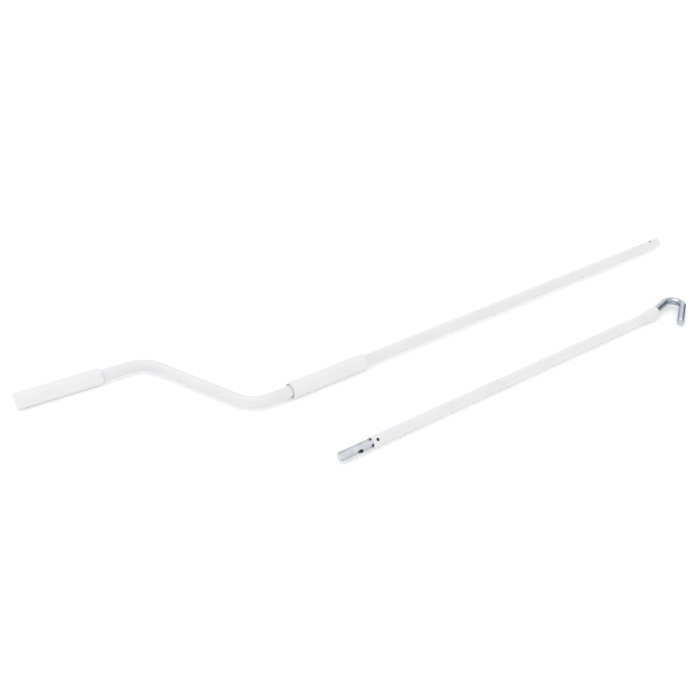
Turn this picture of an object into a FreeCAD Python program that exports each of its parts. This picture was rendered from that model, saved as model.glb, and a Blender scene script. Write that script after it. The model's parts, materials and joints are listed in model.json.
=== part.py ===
import FreeCAD, Part
import math
import os

# Two-part crank rod for winding an awning, in millimetres, lying flat as its two sections.
# The crank section is one bent tube with a closed grip that turns on its end and a second
# grip that turns on its shaft. The hook section is a straight tube with a fluted spigot at
# one end, which plugs into the crank tube, and a hook for the winding gear's eye at the other.
#
# Frame: the origin is the centre of the crank tube's open mouth, on the shaft's axis.
# +X points out of that mouth along the shaft, +Z is up off the floor the sections lie on.

V = FreeCAD.Vector
X, Y, Z = V(1, 0, 0), V(0, 1, 0), V(0, 0, 1)
HERE = V(0, 0, 0)

# ---- tube stock: both sections have the same bore, which the spigot fits
bore_diameter = 12.0
crank_tube_wall = 1.5
hook_tube_wall = 1.0
tube_rim_round = 0.4

# ---- crank section: shaft, arm and handle of one bent tube
shaft_length = 737.0            # open mouth to the corner of the first bend
arm_offset = 165.5              # shaft axis to the corner of the second bend
arm_angle = 72.0                # arm to shaft, degrees
handle_splay = 5.0              # handle leans this much away from the shaft, degrees
bend_radius = 33.5              # on the tube's centre line

# ---- grips: soft sleeves that turn on the tube
grip_wall = 2.3
grip_relief = 1.0               # radial, tube to the grip's bore between and outside its lands
grip_edge_round = 1.2
grip_running_gap = 0.08         # radial, between a grip's lands and the tube
land_width = 8.0
shaft_grip_length = 111.5
shaft_grip_from_mouth = 573.0
shaft_grip_land_depth = 15.0    # grip's end face to its land
end_grip_length = 107.0
end_grip_from_corner = 60.0
end_grip_land_depth = 10.0
end_cap_thickness = 3.0
end_cap_plug_length = 5.0
end_cap_edge_round = 1.6
end_cap_to_tube = 0.5           # keeps the handle's end off the turning cap

# ---- push-on rings that keep the grips in place along the tube
ring_thickness = 1.2
ring_to_bore = 0.3              # radial, ring's edge to the turning grip
ring_to_land = 0.3              # along the tube

# ---- hook section: straight tube, spigot at its left end, hook at its right end
hook_tube_length = 497.7
hook_tube_from_mouth = 672.4    # how far back from the mouth the section lies
sections_apart = 141.2          # shaft axis to hook tube axis, as they lie
approach_gap = 85.0             # spigot to mouth once the section is brought in line

# ---- widened end of the hook tube, pressed off centre around the hook's shank
flare_growth = 1.8              # radial, beyond the plain tube
flare_length = 30.0
flare_full_length = 9.0         # stretch at full width
flare_shift = 0.6               # centre of the full width, toward +Y
lip_roll = 1.8                  # radial, how far the end is rolled in
lip_shift = 2.0
lip_length = 4.0                # stretch over which the end is rolled in
flare_steps = 6
lip_steps = 4

# ---- fluted spigot
spigot_exposed = 45.0
spigot_buried = 40.0
spigot_fit = 0.05               # radial, in either tube's bore
spigot_tip_chamfer = 1.0
flute_radius = 2.3
flute_depth = 2.15
flute_count = 4

# ---- hollow spring pin through spigot and tube
pin_from_shoulder = 6.5
pin_diameter = 4.0
pin_bore = 2.8
pin_slot = 0.8
pin_recess = 0.5                # below the tube's surface
pin_angle = 45.0                # from -Y toward +Z: through the solid ribs, not the flutes

# ---- spring button that locks the spigot in the crank tube
button_from_shoulder = 17.5     # also places the hole near the crank tube's mouth
button_neck_diameter = 4.2
button_shoulder = 0.17          # radial, collar beyond neck
button_running_gap = 0.08       # radial, in its bore
button_hole_gap = 0.2           # radial, in the crank tube's hole
button_proud = 0.3              # dome's top above the tube's surface, when locked
button_dome_height = 0.9
button_collar_thickness = 1.2
button_seat_depth = 1.0         # flute's floor to the step that stops the collar
button_seat_gap = 0.1
button_travel = 2.1
spring_wire = 0.4
spring_gap = 0.2                # pressed button to spring, and spring to plug
spring_turns = 2
plug_thickness = 1.2

# ---- hook: bent round bar
hook_diameter = 10.5
hook_buried = 34.0
hook_lean = 15.0                # first leg leans away from the tube's axis, degrees
hook_lean_inside = 12.0         # corner of that lean, inside the widened end
hook_lean_radius = 12.0
hook_leg_length = 45.5          # lean's corner to the start of the hook's own bend
hook_bend_radius = 12.8         # centre line of the hook's own bend
hook_return = 34.4              # last leg's angle to the tube, degrees
hook_last_leg = 46.0
hook_tip_chamfer = 1.5
ferrule_buried = 30.0

# ---- worked out from the above
bore_r = bore_diameter / 2
crank_tube_r = bore_r + crank_tube_wall
hook_tube_r = bore_r + hook_tube_wall
grip_bore_r = crank_tube_r + grip_relief
grip_r = grip_bore_r + grip_wall
land_r = crank_tube_r + grip_running_gap
ring_r = grip_bore_r - ring_to_bore
flare_r = hook_tube_r + flare_growth
through = 2 * crank_tube_r      # long enough to cut right through either tube
spigot_r = bore_r - spigot_fit
flute_floor = spigot_r - flute_depth
flute_centre = flute_floor + flute_radius
button_neck_r = button_neck_diameter / 2
button_collar_r = button_neck_r + button_shoulder
hook_r = hook_diameter / 2


# ---------------------------------------------------------------- helpers

def cylinder(radius, start, end, axis=X, at=HERE):
    """A round bar on an axis through `at`, from `start` to `end` along it."""
    return Part.makeCylinder(radius, end - start, at + axis * start, axis)


def tube(outer, inner, start, end, axis=X, at=HERE):
    """A ring or tube on an axis through `at`."""
    return cylinder(outer, start, end, axis, at).cut(cylinder(inner, start, end, axis, at))


def heading(degrees):
    """Unit vector in the floor plane, turned from +X toward +Y."""
    return V(math.cos(math.radians(degrees)), math.sin(math.radians(degrees)), 0)


def turned(a, b):
    """Angle between two directions, in radians."""
    return math.acos(max(-1.0, min(1.0, a.dot(b))))


def rounded_path(corners, radii):
    """A wire through straight legs, with each inner corner replaced by a tangent arc."""
    edges = []
    start = corners[0]
    for before, corner, after, radius in zip(corners, corners[1:], corners[2:], radii):
        into = (corner - before).normalize()
        out = (after - corner).normalize()
        setback = radius * math.tan(turned(into, out) / 2)
        bulge = radius / math.cos(turned(into, out) / 2) - radius
        inward = (out - into).normalize()
        leave, join = corner - into * setback, corner + out * setback
        edges.append(Part.makeLine(start, leave))
        edges.append(Part.Arc(leave, corner + inward * bulge, join).toShape())
        start = join
    edges.append(Part.makeLine(start, corners[-1]))
    return Part.Wire(edges)


def swept(path, radius):
    """A round bar that follows a path in the floor plane."""
    first = path.Edges[0]
    start = first.valueAt(first.FirstParameter)
    along = first.tangentAt(first.FirstParameter)
    circle = Part.Wire(Part.makeCircle(radius, start, along))
    return path.makePipeShell([circle], True, False)


def rims(shape, centre, radius):
    """The circular edges of a given radius around a point, such as one end's outer rim."""
    close = 0.01
    found = []
    for edge in shape.Edges:
        if isinstance(edge.Curve, Part.Circle):
            same_size = abs(edge.Curve.Radius - radius) < close
            if same_size and (edge.Curve.Center - centre).Length < close:
                found.append(edge)
    return found


def grip_sleeve(length, land_depth):
    """A sleeve along +X with a running land near each end, set back from the end faces."""
    body = tube(grip_r, land_r, 0, length)
    inner_lands = land_depth + land_width
    for start, end in ((0, land_depth), (inner_lands, length - inner_lands), (length - land_depth, length)):
        body = body.cut(cylinder(grip_bore_r, start, end))
    return body


def export(name, shape):
    shape.exportStep(os.path.join("parts", name + ".step"))


# ---------------------------------------------------------------- crank section

first_corner = X * -shaft_length
second_corner = first_corner + V(-arm_offset / math.tan(math.radians(arm_angle)), arm_offset, 0)
handle_way = heading(180 - handle_splay)
cap_inner_face = end_grip_from_corner + end_grip_length - end_cap_thickness - end_cap_plug_length
handle_length = cap_inner_face - end_cap_to_tube
handle_end = second_corner + handle_way * handle_length


def make_crank_tube():
    path = rounded_path([HERE, first_corner, second_corner, handle_end], [bend_radius, bend_radius])
    bar = swept(path, crank_tube_r)
    bar = bar.makeFillet(tube_rim_round, rims(bar, HERE, crank_tube_r))
    hollow = bar.cut(swept(path, bore_r))
    hole_r = button_neck_r + button_hole_gap
    hole = cylinder(hole_r, 0, through, Z, X * -button_from_shoulder)
    return hollow.cut(hole)


def make_shaft_grip():
    grip = grip_sleeve(shaft_grip_length, shaft_grip_land_depth)
    for end in (0, shaft_grip_length):
        grip = grip.makeFillet(grip_edge_round, rims(grip, X * end, grip_r))
    grip.translate(X * -(shaft_grip_from_mouth + shaft_grip_length))
    return grip


def make_stop_rings():
    """Two rings on the shaft, one outside each of the shaft grip's lands."""
    left_end = -(shaft_grip_from_mouth + shaft_grip_length)
    inset = shaft_grip_land_depth - ring_to_land - ring_thickness
    left = left_end + inset
    right = -shaft_grip_from_mouth - inset - ring_thickness
    return Part.makeCompound([tube(ring_r, crank_tube_r, x, x + ring_thickness) for x in (left, right)])


def on_handle(shape):
    """Moves a shape drawn along +X onto the handle, measured from the second corner."""
    shape.rotate(HERE, Z, 180 - handle_splay)
    shape.translate(second_corner)
    return shape


def make_end_grip():
    grip = grip_sleeve(end_grip_length - end_cap_thickness, end_grip_land_depth)
    grip = grip.makeFillet(grip_edge_round, rims(grip, HERE, grip_r))
    # the land at the closed end is set back behind the cap's plug and the ring
    far_land = end_grip_length - end_cap_thickness - end_grip_land_depth - land_width
    extra = end_cap_plug_length
    grip = grip.fuse(tube(grip_r, land_r, far_land - extra, far_land))
    grip = grip.cut(cylinder(grip_bore_r, far_land + land_width - extra, far_land + land_width))
    grip = grip.removeSplitter()
    grip.translate(X * end_grip_from_corner)
    return on_handle(grip)


def make_end_grip_cap():
    """Closes the grip's outer end: a rounded disc with a plug pressed into the bore."""
    outer = end_grip_from_corner + end_grip_length
    disc = cylinder(grip_r, outer - end_cap_thickness, outer)
    disc = disc.makeFillet(end_cap_edge_round, rims(disc, X * outer, grip_r))
    plug = cylinder(grip_bore_r, outer - end_cap_thickness - end_cap_plug_length, outer - end_cap_thickness)
    return on_handle(disc.fuse(plug).removeSplitter())


def make_end_grip_retainer():
    """Ring on the handle's end, just outside the end grip's far land."""
    far_land_end = end_grip_from_corner + end_grip_length - end_cap_thickness
    far_land_end -= end_grip_land_depth + end_cap_plug_length
    start = far_land_end + ring_to_land
    return on_handle(tube(ring_r, crank_tube_r, start, start + ring_thickness))


# ---------------------------------------------------------------- hook section
# Drawn with its shoulder, the tube's spigot end, at the origin and its axis on +X.

def as_it_lies(shape):
    """Lays a shape of the hook section beside the crank section, on the same floor."""
    shape.translate(V(-hook_tube_from_mouth, -sections_apart, flare_r - grip_r))
    return shape


def flare_sections(inset):
    """Circles along the widened end, `inset` inside its outer surface: radius, shift and x.

    The width grows along half a cosine wave, holds, and is then rolled in along a quarter circle.
    """
    start = hook_tube_length - flare_length
    full = hook_tube_length - flare_full_length
    circles = []
    for step in range(flare_steps + 1):
        grown = (1 - math.cos(math.pi * step / flare_steps)) / 2
        radius = hook_tube_r + (flare_r - hook_tube_r) * grown
        circles.append((radius - inset, flare_shift * grown, start + (full - start) * step / flare_steps))
    lip_start = hook_tube_length - lip_length
    for step in range(lip_steps + 1):
        quarter = math.pi / 2 * step / lip_steps
        rolled = 1 - math.cos(quarter)
        radius = flare_r - lip_roll * rolled
        shift = flare_shift + (lip_shift - flare_shift) * rolled
        circles.append((radius - inset, shift, lip_start + lip_length * math.sin(quarter)))
    return circles


def lofted(circles):
    wires = [Part.Wire(Part.makeCircle(r, V(x, shift, 0), X)) for r, shift, x in circles]
    return Part.makeLoft(wires, True, False)


def flare_cavity():
    """The widened bore: it follows the outside at one wall's depth and stops at the lip."""
    grown = flare_sections(hook_tube_wall)[:flare_steps + 1]
    last_r, last_shift, _ = grown[-1]
    return lofted(grown + [(last_r, last_shift, hook_tube_length - lip_length)])


def hook_path():
    """Centre line of the hook's bar: buried shank, leaning leg, bend and last leg."""
    shank = X * (hook_tube_length - hook_buried)
    lean_corner = X * (hook_tube_length - hook_lean_inside)
    way_out = heading(hook_lean)
    way_back = heading(hook_return - 180)
    bend_setback = hook_bend_radius * math.tan(turned(way_out, way_back) / 2)
    bend_corner = lean_corner + way_out * (hook_leg_length + bend_setback)
    tip = bend_corner + way_back * (bend_setback + hook_last_leg)
    return rounded_path([shank, lean_corner, bend_corner, tip], [hook_lean_radius, hook_bend_radius]), tip


def pin_way():
    turn = math.radians(pin_angle)
    return V(0, -math.cos(turn), math.sin(turn))


def pin_hole():
    return cylinder(pin_diameter / 2, -through, through, pin_way(), X * pin_from_shoulder)


def make_hook_tube():
    straight_end = hook_tube_length - flare_length
    body = cylinder(hook_tube_r, 0, straight_end)
    body = body.makeFillet(tube_rim_round, rims(body, HERE, hook_tube_r))
    body = body.fuse(lofted(flare_sections(0)))
    body = body.cut(cylinder(bore_r, 0, straight_end)).cut(flare_cavity())
    body = body.cut(hook_bar())
    return body.cut(pin_hole())


def make_hook_ferrule():
    """Plug pressed into the widened bore, around the hook's shank and the start of its lean."""
    keep = cylinder(through, hook_tube_length - ferrule_buried, hook_tube_length)
    return flare_cavity().common(keep).cut(hook_bar())


def hook_bar():
    path, _ = hook_path()
    return swept(path, hook_r)


def make_hook():
    _, tip = hook_path()
    bar = hook_bar()
    return bar.makeChamfer(hook_tip_chamfer, rims(bar, tip, hook_r))


def make_spigot():
    """Round bar with four flutes, a cross hole for the pin and a stepped bore for the button."""
    bar = cylinder(spigot_r, -spigot_exposed, spigot_buried)
    bar = bar.makeChamfer(spigot_tip_chamfer, rims(bar, X * -spigot_exposed, spigot_r))
    for index in range(flute_count):
        turn = 2 * math.pi * index / flute_count
        at = V(0, math.cos(turn), math.sin(turn)) * flute_centre
        bar = bar.cut(cylinder(flute_radius, -spigot_exposed, spigot_buried, X, at))
    bar = bar.cut(pin_hole())
    mouth_r = button_neck_r + button_running_gap
    chamber_r = button_collar_r + button_running_gap
    step = -flute_floor + button_seat_depth
    bar = bar.cut(cylinder(mouth_r, -through, step, Y, X * -button_from_shoulder))
    return bar.cut(cylinder(chamber_r, step, through, Y, X * -button_from_shoulder))


def make_pin():
    half = hook_tube_r - pin_recess
    at = X * pin_from_shoulder
    pin = tube(pin_diameter / 2, pin_bore / 2, -half, half, pin_way(), at)
    slot = Part.makeBox(pin_diameter, pin_slot, through * 2, V(0, -pin_slot / 2, -through))
    slot.rotate(HERE, X, 90 - pin_angle)
    slot.translate(at)
    return pin.cut(slot)


def make_button():
    """Domed button whose collar stops it against the step in the spigot's bore."""
    at = X * -button_from_shoulder
    top = -(crank_tube_r + button_proud)
    collar_front = -flute_floor + button_seat_depth + button_seat_gap
    neck = cylinder(button_neck_r, top + button_dome_height, collar_front, Y, at)
    dome_r = (button_neck_r ** 2 + button_dome_height ** 2) / (2 * button_dome_height)
    ball = Part.makeSphere(dome_r, at + Y * (top + dome_r))
    dome = ball.common(cylinder(button_neck_r, top, top + button_dome_height, Y, at))
    collar = cylinder(button_collar_r, collar_front, collar_front + button_collar_thickness, Y, at)
    return dome.fuse(neck).fuse(collar).removeSplitter()


def spring_span():
    """Where the coil lies along Y, drawn at its pressed length behind the button's travel."""
    collar_back = -flute_floor + button_seat_depth + button_seat_gap + button_collar_thickness
    return collar_back + button_travel + spring_gap, flute_floor - plug_thickness - spring_gap / 2


def make_button_spring():
    start, end = spring_span()
    coil_r = button_collar_r - spring_wire
    height = end - start - spring_wire
    helix = Part.Wire(Part.makeHelix(height / spring_turns, height, coil_r))
    wire = Part.Wire(Part.makeCircle(spring_wire / 2, V(coil_r, 0, 0), Y))
    coil = helix.makePipeShell([wire], True, True)
    coil.rotate(HERE, X, -90)
    coil.translate(V(-button_from_shoulder, start + spring_wire / 2, 0))
    return coil


def make_spring_plug():
    radius = button_collar_r + button_running_gap
    return cylinder(radius, flute_floor - plug_thickness, flute_floor, Y, X * -button_from_shoulder)


os.makedirs("parts", exist_ok=True)
export("crank_tube", make_crank_tube())
export("shaft_grip", make_shaft_grip())
export("shaft_grip_stop_rings", make_stop_rings())
export("end_grip", make_end_grip())
export("end_grip_cap", make_end_grip_cap())
export("end_grip_retainer", make_end_grip_retainer())
export("hook_tube", as_it_lies(make_hook_tube()))
export("hook_ferrule", as_it_lies(make_hook_ferrule()))
export("hook", as_it_lies(make_hook()))
export("coupling_spigot", as_it_lies(make_spigot()))
export("spigot_pin", as_it_lies(make_pin()))
export("snap_button", as_it_lies(make_button()))
export("button_spring", as_it_lies(make_button_spring()))
export("spring_plug", as_it_lies(make_spring_plug()))
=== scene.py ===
import json
import math

import bmesh
import bpy
import numpy as np
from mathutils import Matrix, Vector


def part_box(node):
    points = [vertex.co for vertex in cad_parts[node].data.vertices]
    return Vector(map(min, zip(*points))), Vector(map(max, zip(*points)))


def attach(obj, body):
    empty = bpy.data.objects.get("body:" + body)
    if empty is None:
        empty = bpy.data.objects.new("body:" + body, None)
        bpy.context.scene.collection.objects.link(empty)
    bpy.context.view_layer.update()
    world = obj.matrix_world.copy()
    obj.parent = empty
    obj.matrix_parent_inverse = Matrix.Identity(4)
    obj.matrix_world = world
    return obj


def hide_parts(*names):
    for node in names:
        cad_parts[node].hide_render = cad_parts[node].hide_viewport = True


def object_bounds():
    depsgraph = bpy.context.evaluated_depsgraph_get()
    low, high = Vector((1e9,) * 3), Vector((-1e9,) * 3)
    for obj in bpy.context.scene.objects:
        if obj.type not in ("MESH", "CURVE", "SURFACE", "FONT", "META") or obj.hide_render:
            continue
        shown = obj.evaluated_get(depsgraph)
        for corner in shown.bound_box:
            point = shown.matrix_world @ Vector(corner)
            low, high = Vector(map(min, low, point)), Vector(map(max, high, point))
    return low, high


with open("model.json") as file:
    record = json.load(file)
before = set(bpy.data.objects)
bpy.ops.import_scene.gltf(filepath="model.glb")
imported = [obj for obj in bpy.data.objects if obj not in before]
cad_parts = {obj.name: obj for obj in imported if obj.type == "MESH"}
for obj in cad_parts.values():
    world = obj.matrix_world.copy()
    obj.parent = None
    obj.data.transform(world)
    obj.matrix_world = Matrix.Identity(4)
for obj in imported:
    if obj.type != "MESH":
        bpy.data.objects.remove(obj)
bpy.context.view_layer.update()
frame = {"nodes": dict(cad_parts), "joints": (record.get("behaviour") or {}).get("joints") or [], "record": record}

joints = {joint["name"]: joint for joint in frame["joints"]}
mounts = {mount["name"]: mount for mount in frame["record"]["mounts"]}
mm = 0.001


# ---------------------------------------------------------------- crank tube
# One length of 15 mm steel tube, bent twice into a shaft, an arm and a handle, then powder coated white.
# Its right end is left open as the socket for the hook section, and is drilled for the spring button.

crank_r = (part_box("crank_tube")[1][2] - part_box("crank_tube")[0][2]) / 2
bore_r = mounts["hook_section_socket"]["dims"]["r_mm"] * mm
shaft_length = 737.0 * mm
bend_radius = 33.5 * mm
button_from_end = 17.5 * mm     # along the tube, both in the crank tube and on the spigot
button_hole_r = 2.3 * mm
rim_round = 0.4 * mm
rim_steps = np.linspace(0, math.pi / 2, 7)
around = 64                     # columns round a tube
window = 16                     # cells along each side of the window round a drilled hole
window_half = 5.5 * mm          # along the tube
weld_gap = 0.001 * mm
sharp_angle = math.radians(32)
up = np.array([0.0, 0.0, 1.0])


def rounded_route(corners, radii, step=math.radians(3)):
    """Centre line through straight legs whose inner corners are tangent arcs of the given radii.

    Returns the distance along it, its points, and the unit vector across it in the floor plane. An arc's
    point at turn t is its first point plus radius times ((1 - cos t) inward + sin t onward), and t runs over
    the whole turn.
    """
    way = [(b - a) / np.linalg.norm(b - a) for a, b in zip(corners, corners[1:])]
    points, ways, lengths = [corners[:1]], [way[:1]], []
    for corner, into, out, radius in zip(corners[1:], way, way[1:], radii):
        turn = math.acos(float(into @ out))
        inward = (out - math.cos(turn) * into) / math.sin(turn)
        leave = corner - into * radius * math.tan(turn / 2)
        cells = math.ceil(turn / step)
        t = np.linspace(0, turn, cells + 1)[:, None]
        lengths += [np.linalg.norm(leave - points[-1][-1])] + [radius * turn / cells] * cells
        points.append(leave + radius * ((1 - np.cos(t)) * inward + np.sin(t) * into))
        ways.append(np.cos(t) * into + np.sin(t) * inward)
    lengths.append(np.linalg.norm(corners[-1] - points[-1][-1]))
    points, ways = np.vstack(points + [corners[-1:]]), np.vstack(ways + [way[-1:]])
    return np.concatenate([[0], np.cumsum(lengths)]), points, np.cross(up, ways)


def straight_route(start, way, low, high):
    """The same for a straight line from `low` to `high`, measured along the unit vector `way` from `start`."""
    along = np.array([low, high])
    return along, start + along[:, None] * way, np.tile(np.cross(up, way), (2, 1))


def carry(route, grid):
    """Points of a grid of (along, turn, radius): route's point plus radius (cos turn across + sin turn up)."""
    along, points, across = route
    s, turn, r = (grid[..., k] for k in range(3))
    centre = np.stack([np.interp(s, along, points[:, k]) for k in range(3)], -1)
    out = np.stack([np.interp(s, along, across[:, k]) for k in range(3)], -1)
    return centre + r[..., None] * (np.cos(turn)[..., None] * out + np.sin(turn)[..., None] * up)


def revolved(along, radius, columns=around, shift=0.0):
    """Circles of (along, radius) moved across: y = shift + r cos t, z = r sin t, given as turn and distance."""
    t = np.arange(columns) * 2 * math.pi / columns
    r, shift = np.asarray(radius)[:, None], np.broadcast_to(shift, len(along))[:, None]
    y, z = shift + r * np.cos(t), r * np.sin(t)
    return np.stack([np.broadcast_to(np.asarray(along)[:, None], y.shape),
                     np.broadcast_to(t, y.shape) if not shift.any() else np.arctan2(z, y), np.hypot(y, z)], -1)


def window_border(lines):
    """The border of a hole's window, walked once round: its place along, its place across, and its angle."""
    i = np.arange(window)
    end = np.full(window, window)
    a, b = np.r_[i, end, window - i, 0 * i], np.r_[0 * i, i, end, window - i]
    return window_half * (2 * a / window - 1), lines[b], np.arctan2(b - window / 2, a - window / 2)


def hole_rings(at, facing, hole_r, lines, skin, rings=9):
    """The skin round a drilled hole: rings that grow from a circle of hole_r to the window's border.

    A ring's point is (1 - g) hole_r (cos t, sin t) plus g times the border's point, with g from 0 to 1.
    `lines` are the window's columns as distances to the side, and skin(z) is how high the skin lies there.
    """
    s, z, t = window_border(lines)
    grow = (np.linspace(0, 1, rings) ** 1.4)[:, None]
    s = (1 - grow) * hole_r * np.cos(t) + grow * s
    z = (1 - grow) * hole_r * np.sin(t) + grow * z
    return np.stack([at + s, facing + np.arctan2(z, skin(z)), np.hypot(z, skin(z))], -1)


def hole_wall(at, facing, lines, first_ring, steps):
    """The drilled wall: the first ring on the skin, then circles of each (radius, height above the axis)."""
    t = window_border(lines)[2]
    rings = [first_ring]
    for r, height in steps:
        z = r * np.sin(t)
        rings.append(np.stack([at + r * np.cos(t), facing + np.arctan2(z, height), np.hypot(z, height)], -1))
    return np.stack(rings)


def cut_windows(grid, holes):
    """Which cells of a grid are kept once each hole's window, given as (at, first column), is left open."""
    middle = (grid[1:, 0, 0] + grid[:-1, 0, 0]) / 2
    keep = np.ones((len(middle), grid.shape[1]), bool)
    for at, first in holes:
        columns = np.arange(first, first + window) % grid.shape[1]
        keep[np.ix_(np.abs(middle - at) < window_half, columns)] = False
    return keep


def window_lines(at):
    """Where a window's rows lie along the piece."""
    return at + window_half * np.linspace(-1, 1, window + 1)


def make_piece(name, node, body, route, sheets, materials):
    """Puts sheets of (along, turn, radius) into one closed mesh, welded where they meet, faces outward.

    A sheet is its grid, its material's number, and the cells kept or None; its columns close round. The mesh
    also keeps each point's place on the straightened piece, (radius cos turn, radius sin turn, along), for
    its finish.
    """
    points, straight, faces, finish, count = [], [], [], [], 0
    for grid, which, keep in sheets:
        rows, columns = grid.shape[:2]
        r, c = np.arange(rows - 1)[:, None] * columns, np.arange(columns)
        n = (c + 1) % columns
        cells = np.stack([r + c, r + n, r + columns + n, r + columns + c], -1)
        cells = cells.reshape(-1, 4) if keep is None else cells[keep]
        s, turn, radius = (grid[..., k].ravel() for k in range(3))
        points.append(carry(route, grid).reshape(-1, 3))
        straight.append(np.stack([radius * np.cos(turn), radius * np.sin(turn), s], -1))
        faces.append(cells + count)
        finish.append(np.full(len(cells), which))
        count += rows * columns
    mesh = bpy.data.meshes.new(name)
    mesh.from_pydata(np.vstack(points).tolist(), [], np.vstack(faces).tolist())
    grain = mesh.attributes.new("straightened", "FLOAT_VECTOR", "POINT")
    grain.data.foreach_set("vector", np.vstack(straight).astype(np.float32).ravel())
    mesh.polygons.foreach_set("material_index", np.concatenate(finish).astype(np.int32))
    welded = bmesh.new()
    welded.from_mesh(mesh)
    bmesh.ops.remove_doubles(welded, verts=welded.verts, dist=weld_gap)
    bmesh.ops.recalc_face_normals(welded, faces=welded.faces)
    welded.to_mesh(mesh)
    welded.free()
    mesh.shade_smooth()
    mesh.set_sharp_from_angle(angle=sharp_angle)
    for material in materials:
        mesh.materials.append(material)
    piece = bpy.data.objects.new(name, mesh)
    bpy.context.collection.objects.link(piece)
    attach(piece, body)
    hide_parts(node)
    return piece


class Finish:
    """A Principled material, with short calls for the few kinds of node that these finishes use."""

    def __init__(self, name, colour, roughness, **fixed):
        self.material = bpy.data.materials.new(name)
        self.material.use_nodes = True
        self.nodes, self.links = self.material.node_tree.nodes, self.material.node_tree.links
        self.shader = self.nodes["Principled BSDF"]
        self.shader.inputs["Base Color"].default_value = (*colour, 1)
        self.shader.inputs["Roughness"].default_value = roughness
        for socket, value in fixed.items():
            self.shader.inputs[socket.replace("_", " ")].default_value = value
        self.place = self.nodes.new("ShaderNodeTexCoord").outputs["Object"]

    def straightened(self, stretch):
        """The place on the straightened piece, with its length scaled by `stretch`."""
        grain = self.nodes.new("ShaderNodeAttribute")
        grain.attribute_name = "straightened"
        scaled = self.nodes.new("ShaderNodeMapping")
        scaled.inputs["Scale"].default_value = (1, 1, stretch)
        self.links.new(grain.outputs["Vector"], scaled.inputs["Vector"])
        return scaled.outputs["Vector"]

    def noise(self, scale, detail=3, place=None, rough=0.5):
        noise = self.nodes.new("ShaderNodeTexNoise")
        noise.inputs["Scale"].default_value = scale
        noise.inputs["Detail"].default_value = detail
        noise.inputs["Roughness"].default_value = rough
        self.links.new(place or self.place, noise.inputs["Vector"])
        return noise.outputs["Fac"]

    def between(self, value, low, high, to_low, to_high):
        """A value from low..high taken to to_low..to_high, and held beyond both ends."""
        ranged = self.nodes.new("ShaderNodeMapRange")
        numbers = {"From Min": low, "From Max": high, "To Min": to_low, "To Max": to_high}
        for socket, number in numbers.items():
            ranged.inputs[socket].default_value = number
        self.links.new(value, ranged.inputs["Value"])
        return ranged.outputs["Result"]

    def mix(self, share, first, second):
        """Two colours, or sockets, mixed by a share from 0 to 1."""
        mixed = self.nodes.new("ShaderNodeMix")
        mixed.data_type = "RGBA"
        self.links.new(share, mixed.inputs["Factor"])
        for name, value in (("A", first), ("B", second)):
            socket = next(s for s in mixed.inputs if s.name == name and s.type == "RGBA")
            if isinstance(value, tuple):
                socket.default_value = (*value, 1)
            else:
                self.links.new(value, socket)
        return next(s for s in mixed.outputs if s.type == "RGBA")

    def bump(self, height, distance, strength, under=None):
        bump = self.nodes.new("ShaderNodeBump")
        bump.inputs["Distance"].default_value = distance
        bump.inputs["Strength"].default_value = strength
        self.links.new(height, bump.inputs["Height"])
        if under is not None:
            self.links.new(under, bump.inputs["Normal"])
        return bump.outputs["Normal"]

    def use(self, socket, value):
        self.links.new(value, self.shader.inputs[socket])
        return self


def powder_coat():
    """White coat: slight orange peel, faint clouding, a few dust specks, and gloss that drifts a little."""
    coat = Finish("powder_coat_white", (0.70, 0.70, 0.713), 0.42, Specular_IOR_Level=0.45)
    cloud = coat.between(coat.noise(22, 4), 0.3, 0.7, 0, 1)
    specks = coat.between(coat.noise(1900, 1), 0.76, 0.82, 0, 0.5)
    white = coat.mix(cloud, (0.685, 0.685, 0.702), (0.715, 0.715, 0.724))
    coat.use("Base Color", coat.mix(specks, white, (0.53, 0.52, 0.51)))
    coat.use("Roughness", coat.between(coat.noise(60, 4), 0.3, 0.7, 0.36, 0.48))
    peel = coat.bump(coat.noise(750, 2), 0.04 * mm, 0.5)
    return coat.use("Normal", coat.bump(coat.noise(2600, 2), 0.01 * mm, 0.4, peel)).material


def bore_steel_painted_shade():
    """Bare drawn steel inside a tube, dulled, its colour darkened to near black as painted shade in the bore."""
    steel = Finish("bore_steel_painted_shade", (0.16, 0.16, 0.165), 0.55, Metallic=0.85)
    lines = steel.between(steel.noise(1400, 3, steel.straightened(0.04)), 0.3, 0.7, 0, 1)
    steel.use("Base Color", steel.mix(lines, (0.09, 0.09, 0.095), (0.22, 0.22, 0.22)))
    return steel.use("Roughness", steel.between(steel.noise(300, 4), 0.3, 0.7, 0.45, 0.7)).material


coat, bore = powder_coat(), bore_steel_painted_shade()
second_corner = np.array(joints["end_grip_spin"]["pos_m"])
handle_way = np.array(joints["end_grip_spin"]["axis"])
handle_length = (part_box("crank_tube")[0][0] + crank_r * handle_way[1] - second_corner[0]) / handle_way[0]
crank_route = rounded_route(
    np.array([[0, 0, 0], [-shaft_length, 0, 0], second_corner, second_corner + handle_way * handle_length]),
    [bend_radius, bend_radius])
rows = np.unique(np.r_[crank_route[0][1:], window_lines(button_from_end), rim_round,
                       np.linspace(30 * mm, 700 * mm, 34)])
rim = np.c_[rim_round * (1 - np.sin(rim_steps[1:])), crank_r - rim_round * (1 - np.cos(rim_steps[1:]))]
profile = np.r_[np.c_[rows[::-1], np.full(len(rows), crank_r)], rim, [[0, bore_r]],
                np.c_[rows, np.full(len(rows), bore_r)], [[rows[-1], crank_r]]]
grid = revolved(profile[:, 0], profile[:, 1])
inner = len(rows) + len(rim)    # first row of the bore
tube_lines = np.sin(np.linspace(-math.pi / 4, math.pi / 4, window + 1))
keep = cut_windows(grid, [(button_from_end, window // 2)])
outer_rings, bore_rings = (
    hole_rings(button_from_end, math.pi / 2, button_hole_r, tube_lines * r,
               lambda z, r=r: np.sqrt(r ** 2 - z ** 2))
    for r in (crank_r, bore_r))
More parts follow.
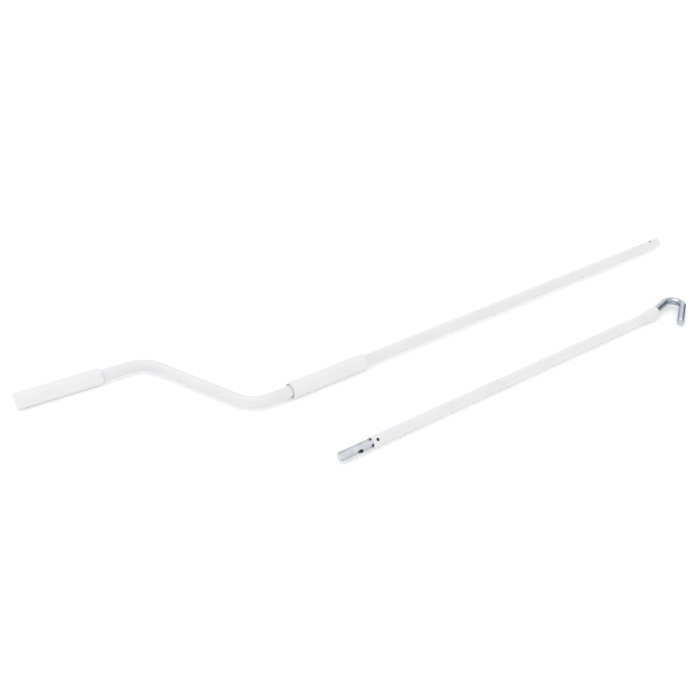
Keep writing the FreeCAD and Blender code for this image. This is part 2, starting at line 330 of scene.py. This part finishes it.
make_piece(
    "crank_tube_coated", "crank_tube", "crank_section", crank_route,
    [(grid[:inner + 1], 0, keep[:inner]), (grid[inner:], 1, keep[inner:]), (outer_rings, 0, None),
     (bore_rings, 1, None), (np.stack([outer_rings[0], bore_rings[0]]), 0, None)], [coat, bore])


# ---------------------------------------------------------------- grips
# Two sleeves of white PVC that turn freely on the tube. The end grip is closed by a cap pressed into its outer
# end; the shaft grip is open at both ends, so its clearance round the tube shows as a dark ring.

grip_r = (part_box("shaft_grip")[1][2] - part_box("shaft_grip")[0][2]) / 2
grip_relief, land_clearance = 1.0 * mm, 0.08 * mm
grip_bore_r = crank_r + grip_relief
land_r = crank_r + land_clearance       # the two lands in each grip that run on the tube
land_width = 8.0 * mm
land_depth, cap_land_depth = 15.0 * mm, 10.0 * mm       # from a sleeve's edge, and from the end grip's inner edge
edge_round = 1.2 * mm
grip_start, grip_end = 60.0 * mm, 167.0 * mm    # along the handle, from the second corner
cap_thickness = 3.0 * mm
cap_plug = 5.0 * mm
cap_round = 1.6 * mm
cap_seam = 0.12 * mm
gate_mark_r = 1.6 * mm
gate_mark_depth = 0.25 * mm
grip_columns = 96


def grip_plastic():
    """White PVC: fine moulded grain, faint draw lines along the sleeve, and slight scuffs."""
    plastic = Finish("grip_plastic_white", (0.725, 0.72, 0.724), 0.5, Specular_IOR_Level=0.4)
    lines = plastic.noise(900, 2, plastic.straightened(0.02))
    cloud = plastic.between(plastic.noise(35, 3), 0.3, 0.7, 0, 1)
    scuffs = plastic.between(plastic.noise(240, 5, rough=0.7), 0.62, 0.72, 0, 0.5)
    white = plastic.mix(cloud, (0.715, 0.71, 0.716), (0.735, 0.732, 0.734))
    plastic.use("Base Color", plastic.mix(scuffs, white, (0.685, 0.675, 0.67)))
    plastic.use("Roughness", plastic.between(lines, 0.3, 0.7, 0.44, 0.58))
    grain = plastic.bump(plastic.noise(3200, 2), 0.02 * mm, 0.5)
    return plastic.use("Normal", plastic.bump(lines, 0.03 * mm, 0.35, grain)).material


def sleeve(start, end, far_round, near_depth, far_depth):
    """A sleeve's closed outline turned round: edges rounded by quarter circles, and two lands in its bore."""
    t = np.linspace(0, math.pi / 2, 9)
    near = np.c_[start + edge_round * (1 - np.sin(t)), grip_r - edge_round * (1 - np.cos(t))][::-1]
    far = np.c_[end - far_round * (1 - np.sin(t)), grip_r - far_round * (1 - np.cos(t))]
    middle = np.linspace(start + edge_round, end - far_round, 24)[1:-1]
    far_land, near_land = end - far_depth, start + near_depth
    lands = [end, far_land, far_land, far_land - land_width, far_land - land_width,
             near_land + land_width, near_land + land_width, near_land, near_land, start]
    bores = [grip_bore_r, grip_bore_r, land_r, land_r, grip_bore_r] * 2
    outline = np.r_[near, np.c_[middle, np.full(len(middle), grip_r)], far, np.c_[lands, bores], near[:1]]
    return revolved(outline[:, 0], outline[:, 1], grip_columns)


plastic = grip_plastic()
seam = grip_end - cap_thickness
handle_route = straight_route(second_corner, handle_way, 0, 1)
make_piece("end_grip_sleeve", "end_grip", "end_grip", handle_route,
           [(sleeve(grip_start, seam, cap_seam, cap_land_depth, land_depth), 0, None)], [plastic])

quarter = np.linspace(0, math.pi / 2, 13)
outline = np.r_[
    [[seam - cap_plug, 0], [seam - cap_plug, grip_bore_r], [seam, grip_bore_r]],
    [[seam, grip_r - cap_seam], [seam + cap_seam, grip_r]],
    np.c_[grip_end - cap_round * (1 - np.sin(quarter)), grip_r - cap_round * (1 - np.cos(quarter))],
    [[grip_end, 4 * mm], [grip_end, gate_mark_r]],
    [[grip_end - gate_mark_depth, gate_mark_r - gate_mark_depth], [grip_end - gate_mark_depth, 0]]]
make_piece("end_grip_closed_end", "end_grip_cap", "end_grip", handle_route,
           [(revolved(outline[:, 0], outline[:, 1], grip_columns), 0, None)], [plastic])

shaft_low, shaft_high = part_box("shaft_grip")
make_piece("shaft_grip_sleeve", "shaft_grip", "shaft_grip",
           straight_route(np.zeros(3), np.array([1.0, 0, 0]), -1, 0),
           [(sleeve(shaft_low[0], shaft_high[0], edge_round, land_depth, land_depth), 0, None)], [plastic])


# ---------------------------------------------------------------- hook tube
# A straight length of 14 mm tube with the same bore, powder coated. Its right end is swaged out round the
# hook's shank and pressed in again at the lip, off centre; its left end holds the spigot, with a roll pin
# driven through both.

spigot_low, spigot_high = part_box("coupling_spigot")
hook_low, hook_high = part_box("hook_tube")
spigot_exposed = 45.0 * mm
axis_at = np.array([spigot_low[0] + spigot_exposed, (spigot_low[1] + spigot_high[1]) / 2,
                    (spigot_low[2] + spigot_high[2]) / 2])
hook_tube_length = hook_high[0] - axis_at[0]
pin_from_end = 6.5 * mm
pin_hole_r = 2.0 * mm
pin_turns = np.radians([135, 315])
hook_tube_wall = 1.0 * mm
hook_tube_r = bore_r + hook_tube_wall
flare_growth, flare_shift = 1.8 * mm, 0.6 * mm
flare_length, flare_full_length = 30.0 * mm, 9.0 * mm
lip_roll, lip_shift, lip_length = 1.8 * mm, 2.0 * mm, 4.0 * mm
hook_r = (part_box("hook")[1][2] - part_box("hook")[0][2]) / 2
lip_overlap = 0.05 * mm         # the lip bites this far into the hook's bar
hook_lean = math.radians(15)
hook_lean_inside = 12.0 * mm


def flare():
    """The widened end as rows of (along, radius, shift): half a cosine wave out, then a quarter circle in."""
    start, full = hook_tube_length - flare_length, hook_tube_length - flare_full_length
    grown = (1 - np.cos(np.linspace(0, math.pi, 25))) / 2
    wide = np.c_[np.linspace(start, full, 25), hook_tube_r + flare_growth * grown, flare_shift * grown]
    t = np.linspace(0, math.pi / 2, 15)
    rolled = 1 - np.cos(t)
    lip = np.c_[hook_tube_length - lip_length * (1 - np.sin(t)), hook_tube_r + flare_growth - lip_roll * rolled,
                flare_shift + (lip_shift - flare_shift) * rolled]
    return wide, lip


wide, lip = flare()
behind = np.array([0, lip_length])      # at the lip and behind it
bar_hole = np.c_[hook_tube_length - behind, np.full(2, hook_r - lip_overlap),
                 (hook_lean_inside - behind) * math.tan(hook_lean)]
rows = np.unique(np.r_[window_lines(pin_from_end), rim_round,
                       np.linspace(20 * mm, wide[0, 0] - 10 * mm, 24)])
plain = np.c_[rows, np.full(len(rows), hook_tube_r), np.zeros(len(rows))]
rim = np.c_[rim_round * (1 - np.sin(rim_steps[1:])), hook_tube_r - rim_round * (1 - np.cos(rim_steps[1:])),
            np.zeros(len(rim_steps) - 1)]
thinner = np.array([0, hook_tube_wall, 0])
outer = np.r_[[[0, bore_r, 0]], rim[::-1], plain, wide, lip, bar_hole[:1]]
inner = np.r_[bar_hole, [[hook_tube_length - lip_length, wide[-1, 1] - hook_tube_wall, wide[-1, 2]]],
              (wide - thinner)[::-1], (plain - thinner)[::-1], [[0, bore_r, 0]]]
outer, inner = (revolved(p[:, 0], p[:, 1], shift=p[:, 2]) for p in (outer, inner))
holes = [(pin_from_end, round(turn / math.tau * around) - window // 2) for turn in pin_turns]
sheets = [(outer, 0, cut_windows(outer, holes)), (inner, 1, cut_windows(inner, holes))]
for turn in pin_turns:
    rings = [hole_rings(pin_from_end, turn, pin_hole_r, tube_lines * r,
                        lambda z, r=r: np.sqrt(r ** 2 - z ** 2)) for r in (hook_tube_r, bore_r)]
    sheets += [(rings[0], 0, None), (rings[1], 1, None), (np.stack([rings[0][0], rings[1][0]]), 0, None)]
hook_route = straight_route(axis_at, np.array([1.0, 0, 0]), -1, 1)
make_piece("hook_tube_coated", "hook_tube", "hook_section", hook_route, sheets, [coat, bore])


# ---------------------------------------------------------------- spigot
# A zinc-plated bar with a sawn end and four rougher flutes, their zinc coloured darker as painted shade in the
# hollows, half of it pressed into the hook tube. Its bare half plugs into the crank tube; a stepped bore through
# it carries the button, its spring and the plug behind them.

spigot_clearance = 0.05 * mm
spigot_r = bore_r - spigot_clearance
spigot_buried = 40.0 * mm
spigot_chamfer = 1.0 * mm
flute_r = 2.3 * mm
flute_depth = 2.15 * mm
flute_floor = spigot_r - flute_depth
flute_centre = flute_floor + flute_r
corner_round = 0.15 * mm
button_bore_r = 2.14 * mm
chamber_r = 2.35 * mm
chamber_step = flute_floor - 1.0 * mm     # height of the step that stops the button's collar


def fluted_section():
    """One quarter of the spigot's section, repeated round it: a flute, a corner, a rib, a corner.

    A flute's point at angle p is (centre - flute_r cos p, flute_r sin p). A corner is an arc of corner_round
    that is tangent to the flute's circle and to the bar's. Returns turn and radius, and the two windows'
    columns.
    """
    a, b = spigot_r - corner_round, flute_r + corner_round
    rib_from = math.acos((a ** 2 + flute_centre ** 2 - b ** 2) / (2 * a * flute_centre))
    middle = a * np.array([math.cos(rib_from), math.sin(rib_from)])
    to_flute = math.atan2(-middle[1], flute_centre - middle[0])
    flute_to = math.asin((middle[1] + corner_round * math.sin(to_flute)) / flute_r)
    p = np.linspace(-flute_to, flute_to, window + 1)
    flute = np.c_[flute_centre - flute_r * np.cos(p), flute_r * np.sin(p)]
    t = np.linspace(to_flute, rib_from, 4)
    corner = middle + corner_round * np.c_[np.cos(t), np.sin(t)]
    q = np.linspace(rib_from, math.pi / 2 - rib_from, window + 1)
    rib = spigot_r * np.c_[np.cos(q), np.sin(q)]
    one = np.r_[flute, corner[1:], rib[1:], corner[1:-1, ::-1][::-1]]
    turn, r = np.arctan2(one[:, 1], one[:, 0]), np.hypot(one[:, 0], one[:, 1])
    turns = np.concatenate([turn + k * math.pi / 2 for k in range(4)])
    return turns, np.tile(r, 4), flute_r * np.sin(p), spigot_r * np.sin(q - math.pi / 4)


def zinc_plate(name, colour, roughness, lines, patches):
    """Bright zinc: drawn lines along the bar, blotchy gloss, and a bluish tint that drifts."""
    zinc = Finish(name, colour, roughness, Metallic=1.0)
    drawn = zinc.noise(1500, 3, zinc.straightened(0.03))
    tint = zinc.between(zinc.noise(90, 5, rough=0.6), 0.35, 0.65, 0, 1)
    darker, lighter = (tuple(c * share for c in colour) for share in (0.9, 1.07))
    zinc.use("Base Color", zinc.mix(tint, darker, lighter))
    blotch = zinc.noise(260, 5, rough=0.65)
    zinc.use("Roughness", zinc.between(blotch, 0.35, 0.65, roughness - patches, roughness + patches))
    pits = zinc.bump(zinc.noise(1800, 3), 0.01 * mm, 0.5)
    return zinc.use("Normal", zinc.bump(drawn, 0.04 * mm, lines, pits)).material


turns, section, flute_lines, rib_lines = fluted_section()
tip = -spigot_exposed
rows = np.unique(np.r_[window_lines(-button_from_end), window_lines(pin_from_end), tip + spigot_chamfer,
                       np.linspace(tip, tip + spigot_chamfer, 6), np.linspace(tip + 2 * mm, spigot_buried, 22)])
limit = spigot_r - np.clip(spigot_chamfer - (rows - tip), 0, None)
radii = np.minimum(section, limit[:, None])
cap = np.linspace(0, 1, 5)[:-1, None]
radii = np.r_[cap * radii[:1], radii, [section * 0]]
along = np.r_[np.full(4, tip), rows, spigot_buried]
grid = np.stack([np.broadcast_to(along[:, None], radii.shape), np.broadcast_to(turns, radii.shape), radii], -1)
quarter_columns = len(turns) // 4
rib_first = window + 3
holes = [(-button_from_end, 0), (-button_from_end, 2 * quarter_columns),
         (pin_from_end, quarter_columns + rib_first), (pin_from_end, 3 * quarter_columns + rib_first)]
keep = cut_windows(grid[4:], holes)
# cells in the flutes take the third finish, whose zinc is coloured darker as painted shade
in_flute = np.arange(len(turns)) % quarter_columns < window
sheets = [(grid[:5], 1, None), (grid[4:], 0, keep & ~in_flute), (grid[4:], 2, keep & in_flute)]
for turn, step in ((0.0, flute_floor - 0.01 * mm), (math.pi, chamber_step)):
    rings = hole_rings(-button_from_end, turn, button_bore_r, flute_lines,
                       lambda z: flute_centre - np.sqrt(flute_r ** 2 - z ** 2), 4)
    wall = hole_wall(-button_from_end, turn, flute_lines, rings[0],
                     [(button_bore_r, step), (chamber_r, step), (chamber_r, 0)])
    sheets += [(rings, 2, None), (wall, 2, None)]
for turn in pin_turns:
    rings = hole_rings(pin_from_end, turn, pin_hole_r, rib_lines,
                       lambda z: np.sqrt(spigot_r ** 2 - z ** 2), 4)
    wall = hole_wall(pin_from_end, turn, rib_lines, rings[0], [(pin_hole_r, 0)])
    sheets += [(rings, 0, None), (wall, 0, None)]
# The third finish, on the flutes and the button's bore, is coloured darker than the satin zinc as painted shade in
# those hollows; only its higher roughness is its own finish.
make_piece("coupling_spigot_plated", "coupling_spigot", "hook_section", hook_route, sheets,
           [zinc_plate("zinc_plate_satin", (0.76, 0.77, 0.80), 0.34, 0.5, 0.06),
            zinc_plate("zinc_plate_sawn_end", (0.66, 0.66, 0.67), 0.5, 0.7, 0.08),
            zinc_plate("zinc_plate_in_flutes_painted_shade", (0.63, 0.64, 0.66), 0.42, 0.6, 0.08)])


# ---------------------------------------------------------------- spring button
# A blackened steel button with a domed head, which slides in the spigot's bore and is stopped by its collar.
# Pressed in, it lets the spigot into the crank tube, then springs out through the hole there.

neck_r = 2.1 * mm
collar_r, collar_thickness = 2.27 * mm, 1.2 * mm
collar_chamfer, seat_gap = 0.1 * mm, 0.1 * mm
dome = 0.9 * mm
dome_r = (neck_r ** 2 + dome ** 2) / (2 * dome)
button_proud = 0.3 * mm
button_top = crank_r + button_proud
collar_front = chamber_step - seat_gap
collar_back = collar_front - collar_thickness


def black_oxide():
    """Blackened steel: near black, with oil sheen that drifts and patches rubbed a little brighter, placed by
    noise.
    """
    oxide = Finish("black_oxide_steel", (0.02, 0.02, 0.022), 0.4, Metallic=0.4)
    rubbed = oxide.between(oxide.noise(1400, 4, rough=0.7), 0.6, 0.72, 0, 1)
    oxide.use("Base Color", oxide.mix(rubbed, (0.018, 0.018, 0.02), (0.07, 0.07, 0.075)))
    oxide.use("Roughness", oxide.between(oxide.noise(500, 3), 0.35, 0.65, 0.32, 0.5))
    return oxide.use("Normal", oxide.bump(oxide.noise(2500, 2), 0.01 * mm, 0.4)).material


oxide = black_oxide()
t = np.linspace(math.asin(neck_r / dome_r), 0, 12)
head = np.c_[button_top - dome_r * (1 - np.cos(t)), dome_r * np.sin(t)]
outline = np.r_[[[collar_back, 0], [collar_back, collar_r - collar_chamfer]],
                [[collar_back + collar_chamfer, collar_r]],
                [[collar_front, collar_r], [collar_front, neck_r], [5 * mm, neck_r]], head]
make_piece("snap_button_domed", "snap_button", "snap_button",
           straight_route(axis_at - np.array([button_from_end, 0, 0]), np.array([0, -1.0, 0]), 0, 0.01),
           [(revolved(outline[:, 0], outline[:, 1], 48), 0, None)], [oxide])


# ---------------------------------------------------------------- hook
# A 10.5 mm bright zinc-plated bar, bent cold: a buried shank, a leaning leg, the hook's own bend and a last
# leg with a chamfered tip. It hangs in the eye of the awning's winding gear.

hook_buried = 34.0 * mm
hook_lean_radius = 12.0 * mm
hook_leg = 45.5 * mm            # lean's corner to the start of the hook's own bend
hook_bend_radius = 12.8 * mm
hook_return = math.radians(34.4)
hook_last_leg = 46.0 * mm
tip_chamfer = 1.5 * mm


def hook_corners():
    """Corners of the hook's centre line, before its bends are rounded."""
    out = np.array([math.cos(hook_lean), math.sin(hook_lean), 0])
    back = -np.array([math.cos(hook_return), math.sin(hook_return), 0])
    setback = hook_bend_radius * math.tan(math.acos(float(out @ back)) / 2)
    shank = axis_at + np.array([hook_tube_length - hook_buried, 0, 0])
    lean = axis_at + np.array([hook_tube_length - hook_lean_inside, 0, 0])
    bend = lean + out * (hook_leg + setback)
    return np.array([shank, lean, bend, bend + back * (setback + hook_last_leg)])


route = rounded_route(hook_corners(), [hook_lean_radius, hook_bend_radius])
end = route[0][-1]
rows = np.unique(np.r_[route[0][:-1], np.linspace(0, end - tip_chamfer, 60)])
edge = np.c_[[end - tip_chamfer, end - tip_chamfer + 0.2 * mm, end - 0.15 * mm, end],
             [hook_r, hook_r - 0.15 * mm, hook_r - tip_chamfer + 0.2 * mm, hook_r - tip_chamfer]]
outline = np.r_[[[0, 0]], np.c_[rows, np.full(len(rows), hook_r)], edge[1:],
                [[end, 2 * mm], [end, 1 * mm], [end, 0]]]
bright_zinc = zinc_plate("zinc_plate_bright", (0.47, 0.50, 0.54), 0.2, 0.6, 0.06)
make_piece("hook_plated", "hook", "hook_section", route,
           [(revolved(outline[:, 0], outline[:, 1], 72), 0, None)], [bright_zinc])


# ---------------------------------------------------------------- small parts kept from the CAD
# The roll pin, the grips' stop rings, the button's spring, the plug behind it and the ferrule inside the
# swaged end. They keep their CAD shape and take the finish of their own stock.

def spring_steel():
    """Oil-tempered spring steel: brown grey, with fine blotches and wiped streaks."""
    steel = Finish("spring_steel_tempered", (0.30, 0.29, 0.28), 0.35, Metallic=1.0)
    blotch = steel.between(steel.noise(700, 5, rough=0.65), 0.35, 0.65, 0, 1)
    steel.use("Base Color", steel.mix(blotch, (0.24, 0.225, 0.21), (0.36, 0.35, 0.345)))
    steel.use("Roughness", steel.between(steel.noise(1500, 3), 0.35, 0.65, 0.28, 0.45))
    return steel.use("Normal", steel.bump(steel.noise(2400, 3), 0.01 * mm, 0.4)).material


def bare_steel():
    """Turned mild steel, left bare: light grey, with tool marks and a few dull stains."""
    steel = Finish("bare_steel_turned", (0.45, 0.45, 0.455), 0.4, Metallic=1.0)
    stains = steel.between(steel.noise(420, 5, rough=0.7), 0.5, 0.75, 0, 1)
    steel.use("Base Color", steel.mix(stains, (0.47, 0.47, 0.475), (0.33, 0.30, 0.27)))
    steel.use("Roughness", steel.between(stains, 0, 1, 0.32, 0.6))
    return steel.use("Normal", steel.bump(steel.noise(2000, 2), 0.01 * mm, 0.5)).material


tempered, turned = spring_steel(), bare_steel()
for node, material, slot in (
        ("spigot_pin", oxide, "black_oxide"), ("end_grip_retainer", tempered, "spring_steel"),
        ("shaft_grip_stop_rings", tempered, "spring_steel"), ("button_spring", tempered, "spring_steel"),
        ("spring_plug", turned, "bare_steel"), ("hook_ferrule", turned, "bare_steel")):
    kept = frame["nodes"][node]
    kept.data.materials.clear()
    kept.data.materials.append(material)


# ---------------------------------------------------------------- floor, light and camera
# A plain white floor in a pale studio with a soft light above. The bright metal mirrors pale walls, a lit
# ceiling, and one pale and one dark card at the far right.

floor_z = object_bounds()[0][2]


def make_floor(half):
    """A square of side 2 half at floor_z."""
    mesh = bpy.data.meshes.new("studio_floor")
    corners = [(-half, -half), (half, -half), (half, half), (-half, half)]
    mesh.from_pydata([(x, y, floor_z) for x, y in corners], [], [(0, 1, 2, 3)])
    floor = bpy.data.objects.new("studio_floor", mesh)
    bpy.context.collection.objects.link(floor)
    paint = Finish("studio_floor_white", (0.86, 0.86, 0.86), 0.9, Specular_IOR_Level=0.1)
    paint.shader.inputs["Emission Color"].default_value = (1, 1, 1, 1)
    paint.shader.inputs["Emission Strength"].default_value = 0.2
    mesh.materials.append(paint.material)


def make_studio(soft, walls, cards):
    """World light: `soft` on everything dull, and `walls` with cards in them for glossy things to mirror.

    A card is (direction, spread in degrees, soft edge in degrees, colour): its share goes from 0 to 1 as
    d . direction goes from cos(spread + edge) to cos(spread - edge).
    """
    world = bpy.data.worlds.new("studio")
    world.use_nodes = True
    world.cycles.sampling_method = "NONE"
    nodes, links = world.node_tree.nodes, world.node_tree.links
    way = nodes.new("ShaderNodeTexCoord").outputs["Generated"]

    def mix(share, first, second):
        mixed = nodes.new("ShaderNodeMix")
        mixed.data_type = "RGBA"
        links.new(share, mixed.inputs["Factor"])
        for name, value in (("A", first), ("B", second)):
            socket = next(s for s in mixed.inputs if s.name == name and s.type == "RGBA")
            if isinstance(value, tuple):
                socket.default_value = (*value, 1)
            else:
                links.new(value, socket)
        return next(s for s in mixed.outputs if s.type == "RGBA")

    colour = walls
    for direction, spread, edge, card in cards:
        dot = nodes.new("ShaderNodeVectorMath")
        dot.operation = "DOT_PRODUCT"
        dot.inputs[1].default_value = np.array(direction) / np.linalg.norm(direction)
        links.new(way, dot.inputs[0])
        near = nodes.new("ShaderNodeMapRange")
        near.interpolation_type = "SMOOTHSTEP"
        near.inputs["From Min"].default_value = math.cos(math.radians(spread + edge))
        near.inputs["From Max"].default_value = math.cos(math.radians(max(0, spread - edge)))
        links.new(dot.outputs["Value"], near.inputs["Value"])
        colour = mix(near.outputs["Result"], colour, card)
    glossy = nodes.new("ShaderNodeLightPath").outputs["Is Glossy Ray"]
    links.new(mix(glossy, soft, colour), nodes["Background"].inputs["Color"])
    bpy.context.scene.world = world


def make_camera(place, pitch, heading, focal):
    """A level camera that looks down by `pitch` and is turned left of +Y by `heading`, in degrees."""
    data = bpy.data.cameras.new("camera")
    data.lens, data.sensor_width = focal, 36.0
    camera = bpy.data.objects.new("camera", data)
    camera.location = place
    camera.rotation_euler = (math.radians(90 - pitch), 0, math.radians(heading))
    bpy.context.collection.objects.link(camera)
    bpy.context.scene.camera = camera


def make_softbox(name, place, aim, size, watts):
    """A square area light of the given side, turned to shine at `aim`."""
    data = bpy.data.lights.new(name, "AREA")
    data.shape, data.size, data.energy = "SQUARE", size, watts
    light = bpy.data.objects.new(name, data)
    back = np.array(place) - np.array(aim)
    flat = math.hypot(back[0], back[1])
    light.location = place
    light.rotation_euler = (math.atan2(flat, back[2]), 0, math.atan2(back[1], back[0]) + math.pi / 2)
    bpy.context.collection.objects.link(light)


make_floor(12)
make_studio((1.17, 1.17, 1.18), (0.83, 0.86, 0.90), [
    ((-0.20, 0.05, 0.98), 28, 8, (2.2, 2.2, 2.25)),
    ((0.70, 0.58, 0.42), 12, 7, (1.25, 1.3, 1.37)),
    ((0.95, -0.07, 0.18), 17, 8, (0.05, 0.06, 0.08))])
make_softbox("softbox_above", (-0.9, 0.9, 2.6), (-0.45, 0, 0), 1.8, 4)
make_camera((-1.3074, -0.9280, 0.724), 30.855, -37.58, 56.57)
bpy.context.scene.view_settings.view_transform = "Standard"
